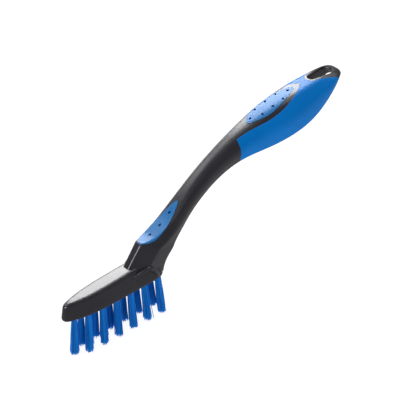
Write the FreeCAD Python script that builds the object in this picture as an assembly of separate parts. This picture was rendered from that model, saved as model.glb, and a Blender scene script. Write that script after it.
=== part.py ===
import FreeCAD, Part
import math
import os

Vector = FreeCAD.Vector

# Grout brush: a cranked two-component handle with a slim tufted head.
# Sizes are in mm. X runs from the nose of the head to the hanging end, Y across, and Z up
# from the underside of the head block, until the finished pieces are stood on their tips.

# Tuft holes, in three staggered rows
side_row_tufts = 6
first_tuft_x = 9.1
tuft_pitch = 11.35
side_row_lag = 8.2
side_row_half = 4.2
nose_row_half = 3.6
hole_diameter = 3.6
hole_depth = 6.0

# Head block, boat-shaped in plan round its tufts, with sides that lean in towards its sloping top
heel_margin = 3.0
head_length = first_tuft_x + side_row_tufts * tuft_pitch + heel_margin
nose_half_width = 2.7
head_half_width = 8.2
heel_half_width = 5.8
heel_taper = 22.0
heel_turn = 7.0
head_plan = [
    (0.0, 0.0),
    (0.0, nose_half_width),
    (4.5, 3.9),
    (15.0, 7.4),
    (36.0, head_half_width),
    (head_length - heel_taper, 7.5),
    (head_length - heel_turn, 7.9),
    (head_length, heel_half_width),
    (head_length, 0.0),
]
head_top_share = 0.75
nose_setback = 1.2
heel_setback = 1.6
nose_height = 12.4
head_top_slope = 3.6
head_top_round = 3.0
nose_round_share = 2.2
head_bottom_round = 1.1

# Bristle tufts, folded round an anchor, splayed towards their tips and trimmed level
bristle_length = 30.3
tuft_clearance = 0.05
tip_diameter = 5.2
first_tip_lean = 1.2
tip_spread = 0.75
tip_splay = 0.6
tuft_flutes = 8
flute_depth = 0.3
short_trim = 1.5
short_trim_start = 0.9
trim_turn = 137.5

# Flat metal anchors in the folds
anchor_thickness = 0.5
anchor_height = 1.6
fold_height = 0.8

# Cross-sections of the moulding: X and Z of the top and of the bottom, half width, half widths of
# the flat top and underside, and how far their edges and the crease of the flank take to turn
neck_root = (42.0, 2.4, 80.0, 2.0, 6.4, 2.2, 4.4, 0.8, 1.0)
neck_middle = (52.2, 16.5, 79.4, 9.5, 8.8, 2.2, 6.0, 0.8, 1.0)
neck_corner = (62.5, 30.7, 87.2, 17.9, 8.8, 2.6, 6.0, 0.9, 1.2)
finger_rest = (73.0, 31.3, 89.9, 23.0, 8.7, 5.3, 5.9, 1.0, 1.5)
finger_scoop = (85.3, 37.4, 97.0, 30.1, 8.0, 6.5, 5.4, 1.6, 1.6)
finger_end = (96.9, 48.7, 105.9, 38.6, 6.6, 5.2, 4.5, 2.8, 1.6)
waist = (116.5, 64.8, 124.7, 51.7, 6.4, 3.7, 4.4, 3.4, 1.9)
grip_front = (139.9, 76.5, 146.9, 59.0, 7.8, 4.3, 5.3, 3.8, 2.3)
thumb_rest = (164.9, 85.3, 171.4, 57.7, 11.3, 5.7, 7.7, 4.2, 3.4)
crest = (189.9, 90.8, 194.4, 59.5, 13.4, 6.3, 9.1, 4.2, 3.8)
eye_front = (213.0, 92.6, 214.5, 65.0, 11.4, 5.8, 8.2, 2.8, 3.4)
eye_back = (229.0, 92.7, 229.3, 80.6, 9.6, 5.2, 8.4, 2.0, 1.6)
tip_shoulder = (236.0, 91.7, 234.9, 86.0, 7.2, 4.0, 6.2, 1.6, 0.8)
tip_round = (238.3, 90.0, 237.7, 86.7, 4.4, 2.4, 3.6, 1.0, 0.4)
tip_end = (238.8, 88.6, 238.6, 87.5, 1.8, 1.0, 1.4, 0.4, 0.2)
widest_share = 0.42

# How much of the way to its neighbours the corner of the neck takes to turn
corner_share = 0.15

# Arch over the rear of the head block, a line of X, half width and Z, and the rim rolled along it
arch_line = [
    (50.5, 4.6, 8.6),
    (54.6, 5.5, 10.3),
    (59.2, 7.1, 12.8),
    (63.9, 8.1, 13.9),
    (69.0, 7.8, 9.9),
    (72.3, 6.8, 5.0),
    (73.6, 5.2, 1.8),
]
rim_radius = 1.4

# Blue shell round the grip
shell_wall = 2.0
shell_edge_top = (142.4, 82.0)
shell_edge_middle = (143.8, 68.0)
shell_edge_bottom = (147.0, 50.0)

# Black tongue in the top of the shell, a half outline in plan from the handle to its point
tongue_half = [(136.0, 4.4), (146.0, 4.9), (162.0, 7.4), (178.0, 8.6), (192.0, 6.4), (203.5, 0.0)]
tongue_floor_z = 70.0

# Hanging eye and the black collar that lines it and runs out over the tip
eye_point_x = 214.2
eye_point_radius = 2.2
eye_round_x = 227.7
eye_round_radius = 4.3
eye_throat_z = 90.9
eye_lean = 38.0
eye_draft = 6.0
lip_round = 1.6
lip_turn = 70.0
lip_steps = 4
lip_rise = 0.8
collar_point_wall = 2.4
collar_round_wall = 3.2
collar_reach = 30.0
shell_past_eye = 0.4
shell_end_x = eye_round_x + eye_round_radius + shell_past_eye

# Soft pads and their dimples, half outlines in plan
pad_depth = 1.8
pad_stand = 0.25
pad_clearance = 0.08
dimple_diameter = 1.9
dimple_depth = 1.1
thumb_pad_half = [(155.5, 0.0), (160.5, 4.4), (172.5, 6.6), (185.0, 5.2), (197.5, 0.0)]
thumb_pad_slope = 13.0
thumb_dimple_centre_x = 175.7
thumb_dimple_pitch = 9.1
thumb_dimple_side = 3.7
thumb_dimple_end = 16.8
finger_pad_half = [(62.7, 0.0), (68.4, 4.7), (76.0, 5.7), (86.5, 4.4), (96.0, 0.0)]
finger_pad_slope = 30.0
finger_dimple_start_x = 72.6
finger_dimple_pitch = 8.3
finger_dimple_count = 3

# How far a cutting solid reaches past the piece that it cuts
reach = 60.0


def cage(station, inset):
    """Control points of half a cross-section, from the middle of the underside to that of the top."""
    top_x, top_z, bottom_x, bottom_z, half_width, top_half, bottom_half, edge, flank = station
    top = Vector(top_x, 0, top_z)
    bottom = Vector(bottom_x, 0, bottom_z)
    depth = (bottom - top).Length - 2 * inset
    down = (bottom - top).normalize()
    half = half_width - inset
    top_half *= half / half_width
    bottom_half *= half / half_width
    widest = widest_share * depth
    upper = Vector(half - top_half, widest - flank, 0).normalize() * edge
    lower = Vector(half - bottom_half, widest + flank - depth, 0).normalize() * edge
    points = [
        (0, depth),
        (bottom_half - edge, depth),
        (bottom_half, depth),
        (bottom_half + lower.x, depth + lower.y),
        (half, widest + flank),
        (half, widest),
        (half, widest - flank),
        (top_half + upper.x, upper.y),
        (top_half, 0),
        (top_half - edge, 0),
        (0, 0),
    ]
    return [top + down * (inset + drop) + Vector(0, across, 0) for across, drop in points]


def clamped_knots(count, degree):
    """Multiplicities and knots of an even spline that ends on its first and last points."""
    spans = count - degree
    return [degree + 1] + [1] * (spans - 1) + [degree + 1], list(range(spans + 1))


def skin(rows):
    """Smooth solid drawn over rows of control points of its half, with flat ends."""
    far_rows = [[mirror(point) for point in row] for row in rows]
    run = min(3, len(rows) - 1)
    run_mults, run_knots = clamped_knots(len(rows), run)
    rim_mults, rim_knots = clamped_knots(len(rows[0]), 3)
    faces = []
    for net in (rows, far_rows):
        surface = Part.BSplineSurface()
        knots = (run_mults, rim_mults, run_knots, rim_knots)
        surface.buildFromPolesMultsKnots(net, *knots, False, False, run, 3)
        faces.append(surface.toShape())
    for end in (0, -1):
        rims = []
        for net in (rows, far_rows):
            rim = Part.BSplineCurve()
            rim.buildFromPolesMultsKnots(net[end], rim_mults, rim_knots, False, 3)
            rims.append(rim.toShape())
        faces.append(Part.Face(Part.Wire(rims)))
    shell = Part.makeShell(faces)
    shell.sewShape()
    return Part.makeSolid(shell)


def moulded(stations, inset=0.0):
    """Solid through the cross-sections of the stations, or a wall's width inside them."""
    return skin([cage(station, inset) for station in stations])


def mirror(point):
    """The same point on the other side of the centre plane."""
    return Vector(point.x, -point.y, point.z)


def upright(outline, low, high):
    """Solid standing on a closed plan outline between two heights."""
    face = Part.Face(outline)
    face.translate(Vector(0, 0, low))
    return face.extrude(Vector(0, 0, high - low))


def head_row(level, lean, inset):
    """Half outline of the block at a level from its underside, 0, to its sloping top, 1."""
    front = lean * nose_setback + inset * nose_round_share
    rear = head_length - lean * heel_setback - inset
    narrow = 1 - lean * (1 - head_top_share) - inset / head_half_width
    rise = math.tan(math.radians(head_top_slope))
    points = []
    for x, y in head_plan:
        near_x = front + x * (rear - front) / head_length
        points.append(Vector(near_x, y * narrow, level * (nose_height + rise * near_x)))
    return points


def head_block():
    """Boat-shaped block with leaning sides, a sloping top and rounded edges."""
    low = 2 * head_bottom_round / nose_height
    high = 1 - head_top_round / nose_height
    rows = [head_row(0, 0, head_bottom_round), head_row(0, 0, 0), head_row(low, 0, 0)]
    rows += [head_row(high, 1, 0), head_row(1, 1, 0), head_row(1, 1, head_top_round)]
    return skin(rows)


def between(first, second, share):
    """Cross-section part of the way from one to the next."""
    return tuple(a + (b - a) * share for a, b in zip(first, second))


def arch():
    """Space under the arch, right across the moulding."""
    crown = Part.BSplineCurve()
    crown.interpolate([Vector(x, -reach, z) for x, half, z in arch_line])
    first, last = crown.StartPoint, crown.EndPoint
    corners = [last, Vector(last.x, -reach, -reach), Vector(first.x, -reach, -reach), first]
    profile = Part.Wire([crown.toShape()] + Part.makePolygon(corners).Edges)
    return Part.Face(profile).extrude(Vector(0, 2 * reach, 0))


def rolled_rim(side):
    """Rounded rim along the arch on one flank, with ends that run into the block."""
    line = Part.BSplineCurve()
    line.interpolate([Vector(x, side * half, z) for x, half, z in arch_line])
    ring = Part.Circle(line.StartPoint, line.tangent(line.FirstParameter)[0], rim_radius)
    return Part.Wire(line.toShape()).makePipeShell([Part.Wire(ring.toShape())], True, True)


def closed_outline(half_outline, grow):
    """Smooth closed plan outline from a half outline between two points on the centre line."""
    first_x = half_outline[0][0] - grow
    last_x = half_outline[-1][0] + grow
    near_side = [Vector(x, y + grow) for x, y in half_outline[1:-1]]
    far_side = [mirror(point) for point in reversed(near_side)]
    curve = Part.BSplineCurve()
    curve.interpolate([Vector(first_x, 0)] + near_side + [Vector(last_x, 0)] + far_side, PeriodicFlag=True)
    return Part.Wire(curve.toShape())


def pointed_outline(half_outline):
    """Plan outline from a straight start to a point on the centre line."""
    near = Part.BSplineCurve()
    near.interpolate([Vector(x, y) for x, y in half_outline])
    far = Part.BSplineCurve()
    far.interpolate([Vector(x, -y) for x, y in reversed(half_outline)])
    start = Part.LineSegment(far.EndPoint, near.StartPoint)
    return Part.Wire([near.toShape(), far.toShape(), start.toShape()])


def teardrop_points(small, large):
    """Teardrop round two circles: its point, the tangent points of one side and its round end."""
    lean = math.acos((small - large) / (eye_round_x - eye_point_x))
    radial = Vector(math.cos(lean), math.sin(lean))
    small_side = Vector(eye_point_x, 0) + radial * small
    large_side = Vector(eye_round_x, 0) + radial * large
    return Vector(eye_point_x - small, 0), small_side, large_side, Vector(eye_round_x + large, 0)


def eye_ring(grow, rise):
    """Teardrop outline of the hanging eye, or one outside it, some way above the eye's throat."""
    point, small_side, large_side, end = teardrop_points(eye_point_radius + grow, eye_round_radius + grow)
    edges = [
        Part.Arc(mirror(small_side), point, small_side),
        Part.LineSegment(small_side, large_side),
        Part.Arc(large_side, end, mirror(large_side)),
        Part.LineSegment(mirror(large_side), mirror(small_side)),
    ]
    ring = Part.Wire([edge.toShape() for edge in edges])
    ring.translate(Vector(0, 0, eye_throat_z + rise))
    return ring


def hanging_eye():
    """Hole that leans with the end of the handle and widens downwards, and its rounded upper lip."""
    widening = math.tan(math.radians(eye_draft)) * reach
    far_ring = eye_ring(widening, -reach)
    far_ring.translate(Vector(math.tan(math.radians(eye_lean)) * reach, 0, 0))
    rings = []
    for step in range(lip_steps):
        turn = math.radians(lip_turn * step / (lip_steps - 1))
        rings.append(eye_ring(lip_round * (1 - math.cos(turn)), lip_round * math.sin(turn)))
    out = lip_round * (1 - math.cos(turn)) + lip_rise * math.tan(turn)
    rings.append(eye_ring(out, lip_round * math.sin(turn) + lip_rise))
    return [Part.makeLoft([eye_ring(0, 0), far_ring], True), Part.makeLoft(rings, True)]


def collar_outline():
    """Plan outline a wall's width outside the eye, with sides that run on past the tip."""
    small = eye_point_radius + collar_point_wall
    large = eye_round_radius + collar_round_wall
    point, small_side, large_side, end = teardrop_points(small, large)
    far_side = large_side + (large_side - small_side).normalize() * collar_reach
    edges = [
        Part.Arc(mirror(small_side), point, small_side),
        Part.LineSegment(small_side, far_side),
        Part.LineSegment(far_side, mirror(far_side)),
        Part.LineSegment(mirror(far_side), mirror(small_side)),
    ]
    return Part.Wire([edge.toShape() for edge in edges])


def grip_region():
    """Space between the shell's curved front edge and its end."""
    top, middle, bottom = [
        Vector(x, -reach, z) for x, z in (shell_edge_top, shell_edge_middle, shell_edge_bottom)
    ]
    corners = [bottom, Vector(shell_end_x, -reach, bottom.z), Vector(shell_end_x, -reach, top.z + reach)]
    corners += [Vector(top.x, -reach, top.z + reach), top]
    edges = [Part.Arc(top, middle, bottom).toShape()] + Part.makePolygon(corners).Edges
    return Part.Face(Part.Wire(edges)).extrude(Vector(0, 2 * reach, 0))


def pad(half_outline, slope, dimples):
    """Soft pad with dimples, and the recess that it is bonded into."""
    normal = Vector(-math.sin(math.radians(slope)), 0, math.cos(math.radians(slope)))
    floor = moulding.translated(normal * -pad_depth)
    crown = moulding.translated(normal * pad_stand)
    dimple_floor = moulding.translated(normal * (pad_stand - dimple_depth))
    low = moulding.BoundBox.ZMin
    high = moulding.BoundBox.ZMax + pad_depth
    recess = upright(closed_outline(half_outline, pad_clearance), low, high).cut(floor)
    recess = max(recess.Solids, key=lambda solid: solid.CenterOfMass.z)
    body = upright(closed_outline(half_outline, 0), low, high).common(crown).cut(floor)
    body = max(body.Solids, key=lambda solid: solid.CenterOfMass.z)
    pins = [Part.makeCylinder(dimple_diameter / 2, high, Vector(x, y, 0)) for x, y in dimples]
    holes = Part.makeCompound(pins).common(body).cut(dimple_floor)
    return body.cut(holes), recess


def tuft_axes():
    """Name, root and tip of each tuft on the underside and on the trim plane."""
    rows = [("mid", 0, side_row_tufts + 1), ("left", 1, side_row_tufts), ("right", -1, side_row_tufts)]
    for row, side, count in rows:
        for index in range(count):
            behind = index * tuft_pitch + abs(side) * side_row_lag
            half = side_row_half if index else nose_row_half
            root = Vector(first_tuft_x + behind, side * half, 0)
            lean = behind / tuft_pitch * tip_spread - first_tip_lean
            tip = Vector(root.x + lean, side * (half + tip_splay), -bristle_length)
            yield "tuft_%s_%d" % (row, index + 1), root, tip


def bundle_outline(radius, height):
    """Fluted outline of a bundle of filaments round the Z axis."""
    points = []
    for index in range(2 * tuft_flutes + 1):
        angle = math.pi * index / tuft_flutes
        out = radius - flute_depth * (index % 2)
        points.append(Vector(out * math.cos(angle), out * math.sin(angle), height))
    return Part.makePolygon(points)


def along(shape, root, tip):
    """The shape turned from the Z axis to a tuft's axis and moved to its root."""
    turn = FreeCAD.Rotation(Vector(0, 0, 1), root - tip)
    return shape.transformed(FreeCAD.Placement(root, turn).toMatrix())


def anchor(root, tip):
    """Flat strip across the hole, held in the fold of the tuft."""
    length = hole_diameter - 2 * tuft_clearance
    low = hole_depth - fold_height - anchor_height
    corner = Vector(-anchor_thickness / 2, -length / 2, low)
    return along(Part.makeBox(anchor_thickness, length, anchor_height, corner), root, tip)


def tuft(number, root, tip):
    """Fluted bundle that fills its hole, splays below the block and is trimmed with a step."""
    outlines = [
        bundle_outline(hole_diameter / 2 - tuft_clearance, hole_depth),
        bundle_outline(hole_diameter / 2 - tuft_clearance, 0),
        bundle_outline(tip_diameter / 2, -bristle_length - short_trim),
    ]
    body = along(Part.makeLoft(outlines, True, True), root, tip)
    trim = Part.makeBox(2 * reach, 2 * reach, reach, Vector(-reach, -reach, -reach))
    step = Part.makeBox(reach, 2 * reach, reach, Vector(short_trim_start, -reach, short_trim - reach))
    step.rotate(Vector(0, 0, 0), Vector(0, 0, 1), number * trim_turn)
    cutters = [trim.translated(tip), step.translated(tip), anchor(root, tip)]
    return body.cut(cutters)


neck = [neck_root, neck_middle, between(neck_corner, neck_middle, corner_share), neck_corner]
neck += [between(neck_corner, finger_rest, corner_share)]
shaft = [finger_rest, finger_scoop, finger_end, waist]
shaft += [grip_front, thumb_rest, crest, eye_front, eye_back]
tip = [tip_shoulder, tip_round, tip_end]
moulding = moulded(neck + shaft + tip).cut(arch())
moulding = moulding.fuse([head_block(), rolled_rim(1), rolled_rim(-1)]).removeSplitter()

sky = moulding.BoundBox.ZMax + reach
tongue = upright(pointed_outline(tongue_half), tongue_floor_z, sky)
collar = upright(collar_outline(), -reach, sky)
overmould = grip_region().cut([tongue, collar, moulded(shaft, shell_wall)])
grip_shell = moulding.common(overmould)

thumb_dimples = [(thumb_dimple_centre_x + side * thumb_dimple_end, 0) for side in (-1, 1)]
for step in (-1, 0, 1):
    for side in (-1, 1):
        thumb_dimples.append((thumb_dimple_centre_x + step * thumb_dimple_pitch, side * thumb_dimple_side))
thumb_pad, thumb_recess = pad(thumb_pad_half, thumb_pad_slope, thumb_dimples)

finger_dimples = [
    (finger_dimple_start_x + step * finger_dimple_pitch, 0) for step in range(finger_dimple_count)
]
finger_pad, finger_recess = pad(finger_pad_half, finger_pad_slope, finger_dimples)

tufts = {}
anchors = []
holes = []
for number, (name, root, end) in enumerate(tuft_axes()):
    tufts[name] = tuft(number, root, end)
    anchors.append(anchor(root, end))
    hole = Part.makeCylinder(hole_diameter / 2, 2 * hole_depth, Vector(0, 0, -hole_depth))
    holes.append(along(hole, root, end))

handle_core = moulding.cut(overmould).cut(hanging_eye() + [thumb_recess, finger_recess] + holes)

pieces = {"handle_core": handle_core, "grip_shell": grip_shell}
pieces.update(thumb_pad=thumb_pad, finger_pad=finger_pad, anchor_staples=Part.makeCompound(anchors))
pieces.update(tufts)

box = moulding.optimalBoundingBox()
stand = Vector(-(box.XMin + box.XMax) / 2, 0, bristle_length)
os.makedirs("parts", exist_ok=True)
for name, shape in pieces.items():
    print(name, shape.isValid(), len(shape.Solids), round(shape.Volume, 1))
    shape.translated(stand).exportStep("parts/%s.step" % name)
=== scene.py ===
import math

import bmesh
import bpy
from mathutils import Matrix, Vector


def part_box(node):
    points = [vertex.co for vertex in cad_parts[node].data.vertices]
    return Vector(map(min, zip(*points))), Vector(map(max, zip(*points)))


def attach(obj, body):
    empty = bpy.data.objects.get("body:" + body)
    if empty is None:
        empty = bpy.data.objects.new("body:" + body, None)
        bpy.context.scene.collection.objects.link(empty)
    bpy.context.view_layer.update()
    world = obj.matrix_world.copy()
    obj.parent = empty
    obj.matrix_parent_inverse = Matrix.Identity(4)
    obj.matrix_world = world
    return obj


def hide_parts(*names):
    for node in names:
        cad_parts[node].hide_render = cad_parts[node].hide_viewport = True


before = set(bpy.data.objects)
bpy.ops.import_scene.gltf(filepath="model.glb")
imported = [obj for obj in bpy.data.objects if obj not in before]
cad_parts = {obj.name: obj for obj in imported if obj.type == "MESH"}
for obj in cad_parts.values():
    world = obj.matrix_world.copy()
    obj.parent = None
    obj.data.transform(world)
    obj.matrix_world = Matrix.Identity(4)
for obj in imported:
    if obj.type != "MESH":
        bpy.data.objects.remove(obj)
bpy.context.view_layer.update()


# Handle core: the long cranked moulding with the head block at its foot and the collar of the
# hanging eye at its end. It is injection moulded in glossy black polypropylene in one shot,
# and everything else is moulded on to it or driven into it.
def joined_copy(node, name, crease):
    """A copy of a CAD solid with its loose triangles joined, smooth between its creases."""
    solid = bmesh.new()
    solid.from_mesh(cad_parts[node].data)
    bmesh.ops.remove_doubles(solid, verts=solid.verts, dist=weld_distance)
    bmesh.ops.dissolve_degenerate(solid, edges=solid.edges, dist=weld_distance)
    mesh = bpy.data.meshes.new(name)
    solid.to_mesh(mesh)
    solid.free()
    for spare in [a.name for a in mesh.attributes if a.name in ("custom_normal", "sharp_face")]:
        mesh.attributes.remove(mesh.attributes[spare])
    mesh.shade_smooth()
    mesh.set_sharp_from_angle(angle=math.radians(crease))
    piece = bpy.data.objects.new(name, mesh)
    bpy.context.scene.collection.objects.link(piece)
    return piece


def place(tree, kind, inputs=None, **settings):
    """A node with its settings, and its inputs set to values or linked to other nodes' outputs."""
    made = tree.nodes.new(kind)
    for setting, value in settings.items():
        setattr(made, setting, value)
    for key, value in (inputs or {}).items():
        if isinstance(value, bpy.types.NodeSocket):
            tree.links.new(value, made.inputs[key])
        else:
            made.inputs[key].default_value = value
    return made


def spread(tree, value, wanted=(0.0, 1.0), given=(0.0, 1.0)):
    """A value stretched from the range it is given in to the range that is wanted."""
    ends = {"From Min": given[0], "From Max": given[1], "To Min": wanted[0], "To Max": wanted[1]}
    return place(tree, "ShaderNodeMapRange", {"Value": value, **ends}).outputs["Result"]


def blended(tree, share, first, second):
    """A colour between two others, each of them a plain colour or another node's output."""
    ends = [end if isinstance(end, bpy.types.NodeSocket) else (*end, 1.0) for end in (first, second)]
    sockets = {"Factor": share, mix_first: ends[0], mix_second: ends[1]}
    return place(tree, "ShaderNodeMix", sockets, data_type="RGBA").outputs[mix_result]


def moulded_surface_group():
    """Shader group for a moulded skin: a fine grain for bump, and a slow drift for its shine."""
    group = bpy.data.node_groups.new("moulded_surface", "ShaderNodeTree")
    face = group.interface
    for name in ("Grain Size", "Flow Size"):
        face.new_socket(name, in_out="INPUT", socket_type="NodeSocketFloat")
    for name in ("Grain", "Flow"):
        face.new_socket(name, in_out="OUTPUT", socket_type="NodeSocketFloat")
    sizes = place(group, "NodeGroupInput").outputs
    where = place(group, "ShaderNodeTexCoord").outputs["Object"]
    found = {}
    for name, size in (("Grain", "Grain Size"), ("Flow", "Flow Size")):
        scale = place(group, "ShaderNodeMath", {0: 1.0, 1: sizes[size]}, operation="DIVIDE")
        pattern = {"Vector": where, "Scale": scale.outputs[0], "Detail": surface_detail}
        noise = place(group, "ShaderNodeTexNoise", pattern)
        found[name] = noise.outputs["Fac"]
    place(group, "NodeGroupOutput", found)
    return group


def moulded_material(name, colours, shine, specular, grain_size, grain_depth, flow_size):
    """A moulded plastic: two near colours that drift into each other, a grain and an uneven shine."""
    material = bpy.data.materials.new(name)
    material.use_nodes = True
    tree = material.node_tree
    bsdf = tree.nodes["Principled BSDF"]
    bsdf.inputs["Specular IOR Level"].default_value = specular
    skin = place(tree, "ShaderNodeGroup", node_tree=moulded_surface)
    skin.inputs["Grain Size"].default_value = grain_size
    skin.inputs["Flow Size"].default_value = flow_size
    drift = spread(tree, skin.outputs["Flow"], given=tint_drift)
    tree.links.new(blended(tree, drift, *colours), bsdf.inputs["Base Color"])
    dull = spread(tree, skin.outputs["Flow"], shine, given=shine_drift)
    tree.links.new(dull, bsdf.inputs["Roughness"])
    grain = {"Height": skin.outputs["Grain"], "Distance": grain_depth, "Strength": 1.0}
    tree.links.new(place(tree, "ShaderNodeBump", grain).outputs["Normal"], bsdf.inputs["Normal"])
    return material


weld_distance = 2e-6
core_crease = 32.0
mix_first, mix_second, mix_result = 6, 7, 2
surface_detail = 3.0
tint_drift = (0.35, 0.65)
shine_drift = (0.3, 0.7)
moulded_surface = moulded_surface_group()
black_plastic = moulded_material(
    "black_polypropylene",
    colours=((0.0135, 0.0130, 0.0190), (0.0175, 0.0165, 0.0240)),
    shine=(0.28, 0.36),
    specular=0.42,
    grain_size=0.0009,
    grain_depth=0.000002,
    flow_size=0.03,
)
core = joined_copy("handle_core", "core", core_crease)
core.data.materials.append(black_plastic)
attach(core, "root")
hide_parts("handle_core")


# Grip shell: a bright blue sleeve round the belly of the handle, open along the top for the
# black tongue and round the eye. It is a soft-touch elastomer, moulded over the core in a
# second shot, with a satin skin.
def polish_by_hand(mesh, material):
    """Marks the upper faces of the sleeve, which the palm rubs, and gives them a soft polish."""
    rubbed = mesh.attributes.new("rubbed", "FLOAT", "POINT")
    rubbed.data.foreach_set("value", [max(0.0, vert.normal.z) ** rub_edge for vert in mesh.vertices])
    tree = material.node_tree
    bsdf = tree.nodes["Principled BSDF"]
    bsdf.inputs["Coat Roughness"].default_value = polish_roughness
    mark = place(tree, "ShaderNodeAttribute", attribute_name="rubbed").outputs["Fac"]
    tree.links.new(spread(tree, mark, (0.0, polish_weight)), bsdf.inputs["Coat Weight"])


rub_edge = 4.0
polish_weight = 0.38
polish_roughness = 0.4
shell_crease = 32.0
blue_elastomer = moulded_material(
    "blue_elastomer",
    colours=((0.0, 0.178, 0.585), (0.0, 0.196, 0.645)),
    shine=(0.42, 0.50),
    specular=0.035,
    grain_size=0.0005,
    grain_depth=0.000004,
    flow_size=0.025,
)
shell = joined_copy("grip_shell", "sleeve", shell_crease)
polish_by_hand(shell.data, blue_elastomer)
shell.data.materials.append(blue_elastomer)
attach(shell, "root")
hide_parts("grip_shell")


# Thumb and finger pads: two lens-shaped inlays of a softer, paler blue rubber with small round
# dimples. They are moulded into recesses of the core and stand a little proud of it.
pad_crease = 40.0
pad_rubber = moulded_material(
    "pale_blue_rubber",
    colours=((0.010, 0.165, 0.46), (0.014, 0.180, 0.49)),
    shine=(0.30, 0.40),
    specular=0.19,
    grain_size=0.0004,
    grain_depth=0.000003,
    flow_size=0.012,
)
for node, name in (("thumb_pad", "thumb_inlay"), ("finger_pad", "finger_inlay")):
    inlay = joined_copy(node, name, pad_crease)
    inlay.data.materials.append(pad_rubber)
    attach(inlay, "root")
    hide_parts(node)


# Anchors: short strips of flat zinc-plated steel, one in the fold of each tuft, driven into
# the holes so that their ends bite the plastic. They are out of sight once the tufts are in.
def plated_steel():
    """Bright plated strip with fine rolling lines and dull spots."""
    material = bpy.data.materials.new("plated_steel")
    material.use_nodes = True
    tree = material.node_tree
    bsdf = tree.nodes["Principled BSDF"]
    bsdf.inputs["Metallic"].default_value = 1.0
    bsdf.inputs["Base Color"].default_value = zinc_colour
    where = place(tree, "ShaderNodeTexCoord").outputs["Object"]
    rolled = place(tree, "ShaderNodeMapping", {"Vector": where, "Scale": rolling_lines})
    pattern = {"Vector": rolled.outputs["Vector"], "Scale": 1.0, "Detail": rolling_detail}
    lines = place(tree, "ShaderNodeTexNoise", pattern).outputs["Fac"]
    tree.links.new(spread(tree, lines, zinc_shine), bsdf.inputs["Roughness"])
    return material


zinc_colour = (0.62, 0.62, 0.60, 1.0)
zinc_shine = (0.2, 0.5)
rolling_lines = (9000.0, 400.0, 400.0)
rolling_detail = 2.0
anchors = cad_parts["anchor_staples"]
anchors.data.materials.clear()
anchors.data.materials.append(plated_steel())


# Tufts: nineteen bundles of stiff blue nylon filaments in three staggered rows. Each bundle is
# folded in half round its anchor, so that it fills its hole, fans out below and is cut level.
def tuft_roots():
    """A mesh with one point at the root of each tuft, and its tip and turn as attributes."""
    points, tips, turns = [], [], []
    for side, count in ((0, side_row_tufts + 1), (1, side_row_tufts), (-1, side_row_tufts)):
        for index in range(count):
            behind = index * tuft_pitch + abs(side) * side_row_lag
            half = side_row_half if index else nose_row_half
            root_x = first_tuft_x + behind
            tip_x = root_x + behind / tuft_pitch * tip_spread - first_tip_lean
            points.append((root_x + nose_x, side * half, underside_z + root_depth))
            tips.append((tip_x + nose_x, side * (half + tip_splay), 0.0))
            turns.append(len(turns) * tuft_turn)
    mesh = bpy.data.meshes.new("tuft_roots")
    mesh.from_pydata(points, [], [])
    ends = mesh.attributes.new("tip", "FLOAT_VECTOR", "POINT")
    ends.data.foreach_set("vector", [part for tip in tips for part in tip])
    mesh.attributes.new("turn", "FLOAT", "POINT").data.foreach_set("value", turns)
    return mesh


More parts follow.
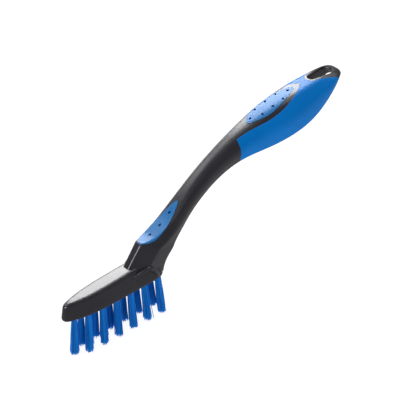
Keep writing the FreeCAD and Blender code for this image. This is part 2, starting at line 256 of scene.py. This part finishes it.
def filament_tree():
    """Geometry tree that draws a bundle of filaments from each root to its tip."""
    tree = bpy.data.node_groups.new("tufts_of_filaments", "GeometryNodeTree")
    face = tree.interface
    face.new_socket("Roots", in_out="INPUT", socket_type="NodeSocketGeometry")
    face.new_socket("Filaments", in_out="INPUT", socket_type="NodeSocketInt")
    for name in ("Hole Radius", "Tip Radius", "Filament Radius", "Trim", "Scatter", "Bend"):
        face.new_socket(name, in_out="INPUT", socket_type="NodeSocketFloat")
    face.new_socket("Seed", in_out="INPUT", socket_type="NodeSocketInt")
    face.new_socket("Nylon", in_out="INPUT", socket_type="NodeSocketMaterial")
    face.new_socket("Tufts", in_out="OUTPUT", socket_type="NodeSocketGeometry")
    given = place(tree, "NodeGroupInput").outputs

    def sums(operation, *terms):
        return place(tree, "ShaderNodeMath", dict(enumerate(terms)), operation=operation).outputs[0]

    def vectors(operation, *terms):
        made = place(tree, "ShaderNodeVectorMath", dict(enumerate(terms)), operation=operation)
        return made.outputs[0]

    def scaled(vector, by):
        terms = {0: vector, "Scale": by}
        return place(tree, "ShaderNodeVectorMath", terms, operation="SCALE").outputs[0]

    def chance(kind, low, high, salt):
        seed = sums("ADD", given["Seed"], salt)
        drawn = place(tree, "FunctionNodeRandomValue", {"Seed": seed}, data_type=kind)
        least, most, result = random_sockets[kind]
        drawn.inputs[least].default_value = low
        drawn.inputs[most].default_value = high
        return drawn.outputs[result]

    def attribute(name, kind):
        named = place(tree, "GeometryNodeInputNamedAttribute", {"Name": name}, data_type=kind)
        return named.outputs[0]

    def kept(geometry, name, kind, value):
        store = {"Geometry": geometry, "Name": name, "Value": value}
        return place(tree, "GeometryNodeStoreNamedAttribute", store, data_type=kind).outputs[0]

    def repeated(geometry, amount):
        copies = {"Geometry": geometry, "Amount": amount}
        return place(tree, "GeometryNodeDuplicateElements", copies, domain="POINT").outputs

    roots = place(tree, "GeometryNodeMeshToPoints", {"Mesh": given["Roots"], "Radius": 1.0}).outputs[0]
    bundle = repeated(roots, given["Filaments"])
    number = bundle["Duplicate Index"]
    ring = sums("SQRT", sums("DIVIDE", sums("ADD", number, 0.5), given["Filaments"]))
    turn = sums("ADD", sums("MULTIPLY", number, golden_angle), attribute("turn", "FLOAT"))
    around = {0: sums("COSINE", turn), 1: sums("SINE", turn), 2: 0.0}
    out = scaled(place(tree, "ShaderNodeCombineXYZ", around).outputs[0], ring)
    stray = scaled(chance("FLOAT_VECTOR", (-1, -1, 0), (1, 1, 0), 1), given["Scatter"])
    wild = sums("POWER", chance("FLOAT", 0.0, 1.0, 2), wild_rarity)
    stray = scaled(stray, sums("ADD", tame_scatter, sums("MULTIPLY", wild, wild_scatter)))
    short = sums("POWER", chance("FLOAT", 0.0, 1.0, 3), short_rarity)
    short = sums("MULTIPLY", short, given["Trim"])
    cut = place(tree, "ShaderNodeCombineXYZ", {2: short}).outputs[0]
    end = vectors("ADD", attribute("tip", "FLOAT_VECTOR"), scaled(out, given["Tip Radius"]))
    end = vectors("ADD", vectors("ADD", end, stray), cut)
    points = kept(bundle["Geometry"], "end", "FLOAT_VECTOR", end)
    bow = scaled(chance("FLOAT_VECTOR", (-1, -1, 0), (1, 1, 0), 4), given["Bend"])
    points = kept(points, "bow", "FLOAT_VECTOR", bow)
    points = kept(points, "tone", "FLOAT", chance("FLOAT", 0.0, 1.0, 5))
    points = kept(points, "filament", "INT", place(tree, "GeometryNodeInputIndex").outputs[0])
    rooted = {"Geometry": points, "Offset": scaled(out, given["Hole Radius"])}
    points = place(tree, "GeometryNodeSetPosition", rooted).outputs[0]
    strung = repeated(points, filament_points)
    share = sums("DIVIDE", strung["Duplicate Index"], float(filament_points - 1))
    here = place(tree, "GeometryNodeInputPosition").outputs[0]
    reach = scaled(vectors("SUBTRACT", attribute("end", "FLOAT_VECTOR"), here), share)
    arch = sums("SINE", sums("MULTIPLY", share, math.pi))
    path = vectors("ADD", reach, scaled(attribute("bow", "FLOAT_VECTOR"), arch))
    points = kept(strung["Geometry"], "along", "FLOAT", share)
    points = place(tree, "GeometryNodeSetPosition", {"Geometry": points, "Offset": path}).outputs[0]
    order = {"Points": points, "Curve Group ID": attribute("filament", "INT")}
    order["Weight"] = attribute("along", "FLOAT")
    lines = place(tree, "GeometryNodePointsToCurves", order).outputs[0]
    section = {"Resolution": filament_sides, "Radius": given["Filament Radius"]}
    section = place(tree, "GeometryNodeCurvePrimitiveCircle", section).outputs[0]
    swept = {"Curve": lines, "Profile Curve": section, "Fill Caps": True}
    swept = place(tree, "GeometryNodeCurveToMesh", swept).outputs[0]
    solid = place(tree, "GeometryNodeRealizeInstances", {"Geometry": swept}).outputs[0]
    dyed = {"Geometry": solid, "Material": given["Nylon"]}
    dyed = place(tree, "GeometryNodeSetMaterial", dyed).outputs[0]
    place(tree, "NodeGroupOutput", {"Tufts": dyed})
    return tree


def dyed_nylon():
    """Blue filament with its own tone from one to the next, and a painted highlight that pales it
    towards its tip.
    """
    material = bpy.data.materials.new("dyed_nylon")
    material.use_nodes = True
    tree = material.node_tree
    bsdf = tree.nodes["Principled BSDF"]
    tone = place(tree, "ShaderNodeAttribute", attribute_name="tone").outputs["Fac"]
    along = place(tree, "ShaderNodeAttribute", attribute_name="along").outputs["Fac"]
    tint = blended(tree, tone, nylon_dark, nylon_bright)
    # Painted highlight: the last stretch of each filament is blended towards a paler blue.
    tip_highlight = spread(tree, along, (0.0, highlight_strength), given=(highlight_start, 1.0))
    tree.links.new(blended(tree, tip_highlight, tint, nylon_highlight_tip), bsdf.inputs["Base Color"])
    tree.links.new(spread(tree, tone, nylon_shine), bsdf.inputs["Roughness"])
    bsdf.inputs["Specular IOR Level"].default_value = nylon_specular
    return material


nylon_dark = (0.0, 0.122, 0.53)
nylon_bright = (0.0, 0.285, 0.92)
# The paler blue at the tips and where it starts along the filament make a painted highlight.
nylon_highlight_tip = (0.01, 0.37, 0.95)
nylon_shine = (0.3, 0.48)
nylon_specular = 0.12
highlight_start = 0.9
highlight_strength = 0.35
nose_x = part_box("handle_core")[0].x
underside_z = 0.0303
side_row_tufts = 6
first_tuft_x = 0.0091
tuft_pitch = 0.01135
side_row_lag = 0.0082
side_row_half = 0.0042
nose_row_half = 0.0036
first_tip_lean = 0.0012
tip_spread = 0.00075
tip_splay = 0.0006
root_depth = 0.002
random_sockets = {"FLOAT_VECTOR": (0, 1, 0), "FLOAT": (2, 3, 1)}
tuft_turn = 1.7
golden_angle = 2.39996
tame_scatter = 0.35
wild_scatter = 1.6
wild_rarity = 5.0
short_rarity = 2.0
filament_points = 5
filament_sides = 6
tufts = bpy.data.objects.new("bristle_tufts", tuft_roots())
bpy.context.scene.collection.objects.link(tufts)
nodes = tufts.modifiers.new("filaments", "NODES")
nodes.node_group = filament_tree()
tuft_sizes = {
    "Filaments": 96,
    "Hole Radius": 0.00163,
    "Tip Radius": 0.00265,
    "Filament Radius": 0.00020,
    "Trim": 0.0016,
    "Scatter": 0.0006,
    "Bend": 0.00025,
    "Seed": 7,
    "Nylon": dyed_nylon(),
}
for socket in nodes.node_group.interface.items_tree:
    if socket.name in tuft_sizes:
        nodes[socket.identifier] = tuft_sizes[socket.name]
bpy.context.view_layer.update()
drawn = bpy.context.evaluated_depsgraph_get()
bundle = bpy.data.meshes.new_from_object(
    tufts.evaluated_get(drawn), preserve_all_data_layers=True, depsgraph=drawn
)
tufts.modifiers.remove(nodes)
tufts.data = bundle
tufts.data.shade_smooth()
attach(tufts, "root")
for row, count in (("mid", side_row_tufts + 1), ("left", side_row_tufts), ("right", side_row_tufts)):
    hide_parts(*["tuft_%s_%d" % (row, index + 1) for index in range(count)])


# Studio: a plain white sweep and a pale backdrop, which glow so that the brush hardly casts a shadow.
# Six boxes stand where the glossy plastic mirrors them, and light nothing else. A wide one overhead
# fills the shade and isn't mirrored.
def softbox(name, spot, aim, width, height, power, fills=False):
    """A rectangular lamp turned towards the brush, to fill it with light or to shine in its gloss."""
    lamp = bpy.data.lights.new(name, "AREA")
    lamp.shape = "RECTANGLE"
    lamp.size = width
    lamp.size_y = height
    lamp.energy = power
    holder = bpy.data.objects.new(name, lamp)
    holder.location = spot
    holder.rotation_euler = (Vector(aim) - Vector(spot)).to_track_quat("-Z", "Y").to_euler()
    holder.visible_diffuse = fills
    holder.visible_glossy = not fills
    holder.visible_camera = False
    bpy.context.scene.collection.objects.link(holder)


floor_half = 3.0
floor_glow = 0.9
mirrored_glow = 0.28
sky_glow = 0.35
seen_glow = 1.0
floor_mesh = bpy.data.meshes.new("floor")
corners = [(x * floor_half, y * floor_half, 0) for x, y in ((-1, -1), (1, -1), (1, 1), (-1, 1))]
floor_mesh.from_pydata(corners, [], [(0, 1, 2, 3)])
floor = bpy.data.objects.new("floor", floor_mesh)
bpy.context.scene.collection.objects.link(floor)
sweep = bpy.data.materials.new("white_sweep")
sweep.use_nodes = True
paper = sweep.node_tree.nodes["Principled BSDF"]
paper.inputs["Base Color"].default_value = (0.25, 0.25, 0.25, 1.0)
paper.inputs["Roughness"].default_value = 0.9
paper.inputs["Specular IOR Level"].default_value = 0.0
paper.inputs["Emission Color"].default_value = (1.0, 1.0, 1.0, 1.0)
mirrored = place(sweep.node_tree, "ShaderNodeLightPath").outputs["Is Glossy Ray"]
glow = spread(sweep.node_tree, mirrored, (floor_glow, mirrored_glow))
sweep.node_tree.links.new(glow, paper.inputs["Emission Strength"])
floor_mesh.materials.append(sweep)

sky = bpy.data.worlds.new("studio")
sky.use_nodes = True
backdrop = sky.node_tree.nodes["Background"]
backdrop.inputs["Color"].default_value = (1.0, 1.0, 1.0, 1.0)
seen = place(sky.node_tree, "ShaderNodeLightPath").outputs["Is Camera Ray"]
glow = spread(sky.node_tree, seen, (sky_glow, seen_glow))
sky.node_tree.links.new(glow, backdrop.inputs["Strength"])
bpy.context.scene.world = sky
softbox("back_box", (0.33, 0.52, 0.62), (0.0, 0.0, 0.07), 0.45, 0.5, 12.4)
softbox("over_box", (0.47, 0.22, 0.90), (0.09, 0.0, 0.12), 0.35, 0.35, 4.6)
softbox("back_left_box", (-0.24, 0.58, 0.72), (0.0, 0.0, 0.09), 0.40, 0.40, 2.6)
softbox("low_back_box", (0.05, 1.0, 0.20), (0.0, 0.0, 0.07), 1.4, 0.35, 5.5)
softbox("front_box", (0.52, -0.30, 0.80), (-0.05, 0.0, 0.05), 0.35, 0.45, 2.6)
softbox("left_box", (-0.91, -0.27, 0.42), (-0.06, 0.0, 0.06), 0.8, 0.3, 16.0)
softbox("fill_box", (0.0, 0.30, 1.20), (0.0, 0.0, 0.07), 1.2, 1.2, 11.0, fills=True)

view_azimuth = -41.7
view_elevation = 35.7
view_distance = 1.1
view_target = Vector((0.0006, 0.0, 0.0703))
camera_data = bpy.data.cameras.new("camera")
camera_data.sensor_width = 36.0
camera_data.lens = 151.77
camera_data.shift_x = -0.0134
camera_data.shift_y = -0.0103
camera = bpy.data.objects.new("camera", camera_data)
turned, raised = math.radians(view_azimuth), math.radians(view_elevation)
level = math.cos(raised)
back = Vector((math.sin(turned) * level, -math.cos(turned) * level, math.sin(raised)))
camera.location = view_target + back * view_distance
camera.rotation_euler = (math.pi / 2 - raised, 0.0, turned)
bpy.context.scene.collection.objects.link(camera)
bpy.context.scene.camera = camera
bpy.context.scene.view_settings.view_transform = "Standard"
